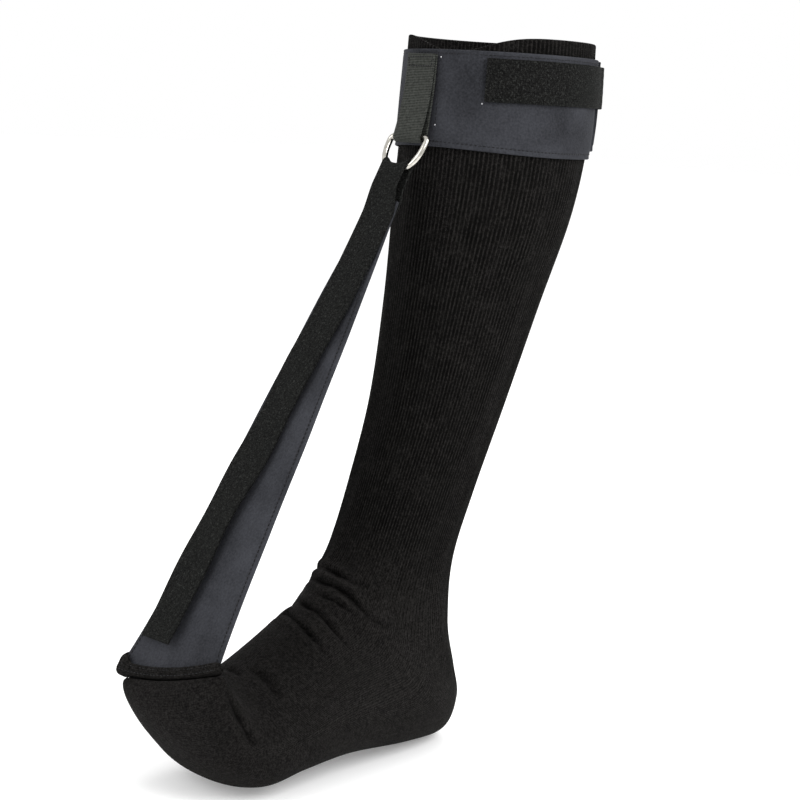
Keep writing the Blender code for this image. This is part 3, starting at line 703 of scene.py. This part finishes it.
def band_hem_relief(height, low):
    """The band's edges: a channel where the hem is sewn, and a fuller roll below and above it."""
    channel = np.exp(-(((height - low - BAND_HEM) / 0.8) ** 2))
    channel = channel + 0.6 * np.exp(-(((height - BAND_TOP + 2.4) / 0.8) ** 2))
    return -0.45 * channel


def add_band_strip(name, angles, heights, inner_out, thick, loop, relief):
    """A strip that lies round the calf; its rows run round and its outline runs up, over and down."""
    up, past, face = outline(0.5 * thick, 41)
    angle = np.asarray(angles, float)[:, None]
    low, high = heights[0](angle) + 0.5 * thick, heights[1] - 0.5 * thick
    height = low + (high - low) * 0.5 * (1.0 + up) + past
    out = inner_out(angle) + 0.5 * thick + face
    out = out + relief(height, angle, low - 0.5 * thick) * (face > 0.0)
    grid = at_height(height, angle, out)
    u = np.concatenate([height, height[:, :1]], 1)
    return add_loft(name, grid, u, reached(grid[:, 20])[:, None], LOOP_CLOTH, loop_rows=loop)


def build_band():
    def wrinkles(height, angle, low):
        turn = np.radians(angle)
        swell = 0.3 * np.sin(turn * 5.0 + 0.03 * height) * np.sin((height - BAND_BOTTOM) / 17.0)
        pull = 0.22 * np.sin(turn * 14.0 + height / 13.0) * np.exp(-(((angle - 24.0) / 22.0) ** 2))
        return band_hem_relief(height, low) + swell + pull

    round_calf = np.arange(240) * 1.5
    band = add_band_strip(
        "band_cloth", round_calf, (band_bottom, BAND_TOP), always(FIT_GAP), BAND_THICK, True, wrinkles
    )
    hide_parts("calf_band")
    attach(band, "leg")
    lap = add_band_strip(
        "band_lap_cloth", np.linspace(*LAP_ANGLES, 36), (always(BAND_BOTTOM + 1.5), BAND_TOP - 0.5),
        always(2 * FIT_GAP + BAND_THICK), BAND_THICK, False,
        lambda height, angle, low: band_hem_relief(height, low),
    )
    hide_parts("band_lap")
    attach(lap, "leg")
    turn = np.linspace(0.0, 360.0, 361)
    hem = at_height(band_bottom(turn) + BAND_HEM, turn, FIT_GAP + BAND_THICK - 0.2)
    sew("band_hem_stitches", hem, "leg", "band_hem_stitch", pitch=2.6, length=1.9, radius=0.34)
    top = at_height(BAND_TOP - 2.4, turn, FIT_GAP + BAND_THICK - 0.12)
    sew("band_top_stitches", top, "leg", radius=0.2)


def tab_out(angle):
    """The tab lies on the band and climbs onto the band's lapped end behind the calf."""
    on_band = 2 * FIT_GAP + BAND_THICK
    return on_band + (BAND_THICK + FIT_GAP) * eased((angle - 130.0) / 11.0)


def add_tab(name, span, steps, body, node):
    def place(angle, x, out):
        height = 0.5 * sum(TAB_HEIGHTS) + x
        free = 0.5 * eased((46.0 - angle) / 8.0)
        return at_height(height, angle, tab_out(angle) + 0.5 * TAB_THICK + out + free)

    def pile(angle, x, half):
        return 0.09 * np.sin(angle * 9.0 + x * 3.1) * np.sin(x * 4.3 + angle * 2.0) - 0.1

    half = always(0.5 * (TAB_HEIGHTS[1] - TAB_HEIGHTS[0]))
    piece = add_ribbon(name, np.linspace(*span, steps), half, place, TAB_THICK, PILE_TAPE, pile, 29)
    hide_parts(node)
    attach(piece, body)


def build_closure():
    add_tab("closure_tab_tape", TAB_ANGLES, 120, "tab", "cuff_tab")
    add_tab("closure_root_tape", TAB_ROOT_ANGLES, 24, "leg", "tab_root")
    angle, height = box_outline((155.0, 389.5), (165.5, 409.5), 12)
    path = at_height(height, angle, tab_out(angle) + TAB_THICK - 0.1)
    sew("closure_root_stitches", path, "leg", "tab_root_stitch", pitch=2.2, length=1.7)
    height = np.linspace(TAB_HEIGHTS[0] + 0.8, TAB_HEIGHTS[1] - 0.8, 20)
    path = at_height(height, TAB_ANGLES[0] - 1.6, FIT_GAP + BAND_THICK + 0.1)
    sew("closure_end_stitches", path, "leg", pitch=1.7, length=1.3, radius=0.2)


# Ring, webbing and tape.


def bow_along(x):
    """How far up the strap's plane the ring's bow lies at this place across."""
    share = np.minimum(np.abs((x - RING_X) / RING_HALF), 1.0)
    return RING_ALONG - RING_SIDE - RING_BOW * (1.0 - share**RING_SQUARE) ** (1.0 / RING_SQUARE)


def ring_path():
    """The D's centre line: the bow from +X to -X, then the corners and the bar."""
    turn = np.linspace(0.0, math.pi, 61)
    power = 2.0 / RING_SQUARE
    side = np.sign(np.cos(turn)) * np.abs(np.cos(turn)) ** power
    x = RING_X + RING_HALF * side
    along = RING_ALONG - RING_SIDE - RING_BOW * np.sin(turn) ** power
    corner = np.linspace(0.0, 0.5 * math.pi, 9)[1:]
    left = RING_X - RING_HALF + RING_CORNER * (1.0 - np.cos(corner))
    rise = RING_ALONG - RING_SIDE + RING_CORNER * np.sin(corner)
    bar = np.linspace(left[-1], 2 * RING_X - left[-1], 22)[1:-1]
    xs = np.concatenate([x, left, bar, (2 * RING_X - left)[::-1]])
    alongs = np.concatenate([along, rise, np.full(20, RING_ALONG), rise[::-1]])
    return on_strap(xs, alongs, 0.0 * xs)


def build_ring():
    path = ring_path()
    ahead = np.roll(path, -1, axis=0) - np.roll(path, 1, axis=0)
    ahead /= np.linalg.norm(ahead, axis=-1, keepdims=True)
    out = on_strap(0.0, 0.0, 1.0) - on_strap(0.0, 0.0, 0.0)
    out = out / np.linalg.norm(out)
    across = np.cross(ahead, out)
    turn = np.linspace(0.0, math.tau, 20, endpoint=False)[None, :, None]
    grid = path[:, None] + (across[:, None] * np.cos(turn) + out * np.sin(turn)) * RING_WIRE * MM
    u, v = np.linspace(0, 11, 21)[None, :], np.arange(len(path))[:, None]
    ring = add_loft("nickel_ring", grid, u, v, NICKEL, loop_rows=True)
    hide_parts("d_ring")
    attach(ring, "ring")


def front_forward(height):
    """How far forward the band's front face is at the middle of the shin."""
    face = at_height(height, 0.0, FIT_GAP + BAND_THICK)
    return OPENING_FORWARD - face[..., 1] / MM


def webbing_line():
    """The loop's mid-line in the upright plane: down behind, round the bar and up in front."""
    bar_forward = STRAP_FOOT[0] - RING_ALONG * math.sin(STRAP_LEAN)
    bar_height = STRAP_FOOT[1] + RING_ALONG * math.cos(STRAP_LEAN)
    inside = RING_WIRE + FIT_GAP
    height = np.linspace(WEBBING_TOP, bar_height, 48)
    share = ((WEBBING_TOP - height) / (WEBBING_TOP - bar_height)) ** 2.6
    start = front_forward(height) + 0.5
    back = start + (bar_forward - inside - WEBBING_THICK - start) * share
    front = back + WEBBING_THICK + 0.4 + (2.0 * inside - 0.4) * share
    turn = np.linspace(0.0, math.pi, 16)[1:-1]
    radius = inside + 0.5 * WEBBING_THICK
    forward = np.concatenate([
        back + 0.5 * WEBBING_THICK, bar_forward - radius * np.cos(turn), front[::-1] + 0.5 * WEBBING_THICK
    ])
    return forward, np.concatenate([height, bar_height - radius * np.sin(turn), height[::-1]])


def build_webbing():
    forward, height = webbing_line()
    ahead = np.stack([np.gradient(forward), np.gradient(height)], -1)
    ahead /= np.linalg.norm(ahead, axis=-1, keepdims=True)

    def place(station, x, out):
        index = np.rint(station).astype(int)
        f = forward[index] + ahead[index, 1] * out
        return world(RING_X + x, f, height[index] - ahead[index, 0] * out)

    def ribs(station, x, half):
        near_edge = np.exp(-(((half - np.abs(x)) / 1.1) ** 2))
        return 0.12 * np.sin(station * math.tau / 2.0) - 0.08 + 0.12 * near_edge

    stations = np.arange(len(forward))
    piece = add_ribbon(
        "ring_loop_webbing", stations, always(WEBBING_HALF), place, WEBBING_THICK, WEBBING, ribs, 25
    )
    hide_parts("ring_webbing")
    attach(piece, "leg")
    x, below = box_outline((-9.2, 1.8), (9.2, 7.0), 10)
    face = np.interp(WEBBING_TOP - below, height[-48:], forward[-48:]) + 0.5 * WEBBING_THICK
    sew("webbing_bartack_stitches", world(RING_X + x, face, WEBBING_TOP - below), "leg", "webbing_bartack",
        pitch=1.9, length=1.5)
    level = np.linspace(BAND_BOTTOM + 12.0, WEBBING_TOP - 2.0, 24)
    seam = at_height(level, SIDE_SEAM_ANGLE, FIT_GAP + BAND_THICK - 0.05)
    sew("webbing_side_stitches", seam, "leg", radius=0.22)
    beside = SIDE_SEAM_ANGLE + 0.2
    ends = ((level[0], beside), (level[-1], beside), (TAB_HEIGHTS[0] - 1.5, TAB_ANGLES[0] - 1.0))
    knots = np.array([at_height(h, a, FIT_GAP + BAND_THICK + 0.2) for h, a in ends])
    for index, knot in enumerate(knots):
        path = np.array([knot, knot + np.array([0.0003, -0.0003, 0.0008])])
        sew(f"thread_end_{index}", path, "leg", pitch=0.9, length=0.85, radius=0.42, material=PALE_THREAD)


def strap_middle(along):
    return 1.0 - 5.0 * (1.0 - along / STRAP_TOP)


def strap_half(along):
    below = STRAP_TOP - along
    return 10.3 + 0.108 * below - 0.00012 * below**2 + 6.5 * np.exp(-np.maximum(along, 0.0) / 30.0)


def tail_middle(along):
    start = 1.5 - 4.1 * eased((along - 286.0) / 22.0)
    return start - 20.5 * eased((290.0 - along) / 290.0)


def tail_half(along):
    return FOLD_HALF + (TAPE_HALF - FOLD_HALF) * eased((FOLD_END - along) / 22.0)


def tail_out(along, across):
    """The tail's mid surface: it comes down near the strap, then stands off it and waves a little."""
    landing = 0.9 * eased((along - 286.0) / 22.0)
    free = np.clip((FOLD_END - along) / FOLD_END, 0.0, 1.0)
    lift = TAIL_LIFT * free**1.5 * (0.8 + 0.2 * across)
    loose = eased((262.0 - along) / 70.0)
    wave = 0.55 * (1.0 + np.sin(along / 14.0 + 1.1 * across)) * loose
    return 0.5 * STRAP_THICK + FIT_GAP + landing + lift + wave + 0.5 * TAPE_THICK


def tail_edge(along, across):
    """How far the tail's edges wander sideways where it lies slack."""
    loose = eased((262.0 - along) / 60.0) * eased((along - TAIL_END) / 14.0)
    return loose * (0.7 * np.sin(along / 17.0) + 0.5 * across * np.sin(along / 9.5 + 1.0))


def build_strap():
    def place(share, x, out):
        across = x / strap_half(0.0)
        start = SEAM_LEVEL + seam_rise(strap_middle(0.0) + x)
        along = start + (STRAP_TOP - start) * share
        middle, half = strap_middle(along), strap_half(along)
        slack = 0.16 * np.sin(along / 11.0 + across) * np.sin(across * 2.2 + along / 60.0)
        slack = slack * eased(share / 0.1) * eased((1 - share) / 0.1)
        return on_strap(middle + across * half, along, out + slack)

    def hem(share, x, half):
        from_edge = half - np.abs(x)
        scale = strap_half(share * STRAP_TOP) / strap_half(0.0)
        channel = np.exp(-(((from_edge * scale - STRAP_HEM) / 0.8) ** 2))
        return -0.38 * channel

    strap = add_ribbon(
        "strap_cloth", np.linspace(0.0, 1.0, 130), always(strap_half(0.0)), place, STRAP_THICK - 0.1,
        LOOP_CLOTH, hem, 61,
    )
    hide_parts("tension_strap")
    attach(strap, "strap")
    rows = (
        ("strap_near_stitches", 1.0, 14.0, 262.0, 1.0, ("strap_stitch_near",)),
        ("strap_far_stitches", -1.0, 2.0, 262.0, 1.0, ("strap_stitch_far",)),
        ("strap_near_back_stitches", 1.0, 14.0, 292.0, -1.0, ()),
        ("strap_far_back_stitches", -1.0, 2.0, 292.0, -1.0, ()),
    )
    for name, side, start, end, face, nodes in rows:
        along = np.linspace(start, end, 60)
        x = strap_middle(along) + side * (strap_half(along) - STRAP_HEM)
        path = on_strap(x, along, face * (0.5 * STRAP_THICK - 0.15))
        sew(name, path, "strap", *nodes, pitch=2.6, length=1.9, radius=0.36)
    x, along = box_outline((-6.0, 283.0), (6.0, 293.0), 10)
    out = -0.5 * STRAP_THICK - FIT_GAP - TAPE_THICK
    sew("strap_tip_stitches", on_strap(strap_middle(290.0) + x, along, out), "strap", "strap_tip_stitch",
        pitch=2.0, length=1.6)


def pile_relief(station, x, half):
    """Tape's pile: small tufts in rows, and a thin selvedge at each edge."""
    selvedge = np.exp(-(((half - np.abs(x)) / 1.2) ** 2))
    return 0.07 * np.sin(station * 2.3 + x * 2.9) * np.sin(x * 3.7 - station * 1.7) - 0.07 - 0.2 * selvedge


def build_tape():
    def on_tail(along, x, out):
        across = np.clip(x / tail_half(along), -1.0, 1.0)
        x = tail_middle(along) + x + tail_edge(along, across)
        return on_strap(x, along, tail_out(along, across) + out)

    tail = add_ribbon(
        "tape_tail_run", np.linspace(FOLD_END, TAIL_END, 220), tail_half, on_tail, TAPE_THICK - 0.05,
        PILE_TAPE, pile_relief, 33,
    )
    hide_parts("tape_tail", "tail_tip")
    on_strap(0.0, 300.0, 0.0)
    on_strap(0.0, 30.0, 0.0)
    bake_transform(tail)

    def round_bow(side):
        def place(share, x, out):
            radius = RING_WIRE + FIT_GAP + 0.5 * TAPE_THICK
            turn = np.clip(share / 0.4, 0.0, 1.0) * 0.5 * math.pi
            bow = bow_along(RING_X + x)
            slope = (bow_along(RING_X + x + 0.01) - bow_along(RING_X + x - 0.01)) / 0.02
            crown = RING_WIRE * np.hypot(1.0, slope) + FIT_GAP + 0.5 * TAPE_THICK
            down = np.clip((share - 0.4) / 0.6, 0.0, 1.0)
            along = bow + (crown + out) * np.cos(turn)
            along = along + (FOLD_END - along) * down
            return on_strap(RING_X + x, along, side * (radius + out) * np.sin(turn))
        return place

    front = add_ribbon(
        "tape_bend", np.linspace(0.0, 1.0, 30), always(FOLD_HALF), round_bow(1.0), TAPE_THICK,
        PILE_TAPE, None, 25,
    )
    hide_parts("tape_fold")
    on_strap(0.0, 321.0, 0.0)
    on_strap(0.0, 309.0, 0.0)
    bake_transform(front)
    over = add_ribbon(
        "tape_bend_back", np.linspace(0.0, 1.0, 30), always(FOLD_HALF), round_bow(-1.0), TAPE_THICK,
        PILE_TAPE, None, 25,
    )
    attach(over, "ring")

    def behind(along, x, out):
        middle = RING_X + (strap_middle(along) - RING_X) * eased((FOLD_END - along) / 14.0)
        back = -0.5 * STRAP_THICK - FIT_GAP - 0.5 * TAPE_THICK - 0.9 * eased((along - 286.0) / 22.0)
        return on_strap(middle + x, along, back + out)

    back = add_ribbon(
        "tape_back", np.linspace(FOLD_END, BACK_RUN_END, 30), always(FOLD_HALF), behind, TAPE_THICK - 0.05,
        PILE_TAPE, pile_relief, 25,
    )
    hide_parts("tape_back_run")
    on_strap(0.0, 307.5, 0.0)
    on_strap(0.0, 294.0, 0.0)
    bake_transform(back)


def build_lip_stitches():
    x = np.linspace(LIP_ENDS[0] + 3.0, LIP_ENDS[1] - 2.5, 60)
    for row, up in LIP_STITCH_HEIGHTS:
        path = on_lip(x, up, 3.75)
        sew(f"lip_{row}_stitches", path, "foot", f"lip_stitch_{row}", pitch=2.6, length=1.7, radius=0.24)


# Stage: floor, light and camera.


def floor_material():
    nodes = Nodes("pale_floor")
    grain = nodes.noise(3.0, 3.0)
    colour = nodes.colours(grain, ((0.3, (0.86, 0.86, 0.86)), (0.7, (0.9, 0.9, 0.9))))
    nodes.shader.inputs["Emission Color"].default_value = (1.0, 1.0, 1.0, 1.0)
    nodes.shader.inputs["Emission Strength"].default_value = 0.22
    return nodes.finish(colour, grain, 0.0, 0.9)


def away_at(azimuth, elevation):
    """A unit step away from the object at these angles; azimuth 0 is in front of the toes."""
    a, e = math.radians(azimuth), math.radians(elevation)
    return Vector((math.sin(a) * math.cos(e), -math.cos(a) * math.cos(e), math.sin(e)))


def add_light(name, azimuth, elevation, distance, size, power):
    """A soft box that faces the middle of the object."""
    aim = Vector((0.0, -0.06, -0.2))
    away = away_at(azimuth, elevation)
    data = bpy.data.lights.new(name, "AREA")
    data.size = size
    data.energy = power
    light = bpy.data.objects.new(name, data)
    light.location = aim + away * distance
    light.rotation_euler = away.to_track_quat("Z", "Y").to_euler()
    bpy.context.scene.collection.objects.link(light)


def build_stage():
    mesh = bpy.data.meshes.new("floor")
    level = CAD_BOX[0][2] - 0.0005
    reach = 14.0
    corners = [(x * reach, y * reach, level) for x, y in ((-1, -1), (1, -1), (1, 1), (-1, 1))]
    mesh.from_pydata(corners, [], [(0, 1, 2, 3)])
    mesh.materials.append(floor_material())
    floor = bpy.data.objects.new("floor", mesh)
    bpy.context.scene.collection.objects.link(floor)
    studio = bpy.data.worlds.new("studio")
    studio.use_nodes = True
    background = studio.node_tree.nodes["Background"].inputs
    background["Color"].default_value = (1.0, 1.0, 1.0, 1.0)
    background["Strength"].default_value = 1.0
    bpy.context.scene.world = studio
    add_light("key", 95.0, 38.0, 1.5, 0.9, 16.0)
    add_light("fill", -15.0, 30.0, 1.7, 1.1, 9.0)
    add_light("back_light", 215.0, 35.0, 1.8, 0.8, 7.0)
    bpy.context.scene.view_settings.view_transform = "Standard"


def build_camera():
    """The camera stands in front on the +X side, level with the calf band, and is rolled a little."""
    target, distance, roll = Vector((-0.004, -0.067, -0.211)), 1.128, math.radians(3.1)
    back = away_at(44.7, 8.6)
    right = (-back).cross(Vector((0, 0, 1))).normalized()
    up = right.cross(-back)
    right, up = right * math.cos(roll) + up * math.sin(roll), up * math.cos(roll) - right * math.sin(roll)
    data = bpy.data.cameras.new("camera")
    data.lens = 85.0
    data.sensor_width = 36.0
    camera = bpy.data.objects.new("camera", data)
    turned = Matrix((right, up, back)).transposed().to_4x4()
    camera.matrix_world = Matrix.Translation(target + back * distance) @ turned
    bpy.context.scene.collection.objects.link(camera)
    bpy.context.scene.camera = camera


build_sock()
build_toe_lip()
build_band()
build_closure()
build_ring()
build_webbing()
build_strap()
build_tape()
build_lip_stitches()
build_stage()
build_camera()
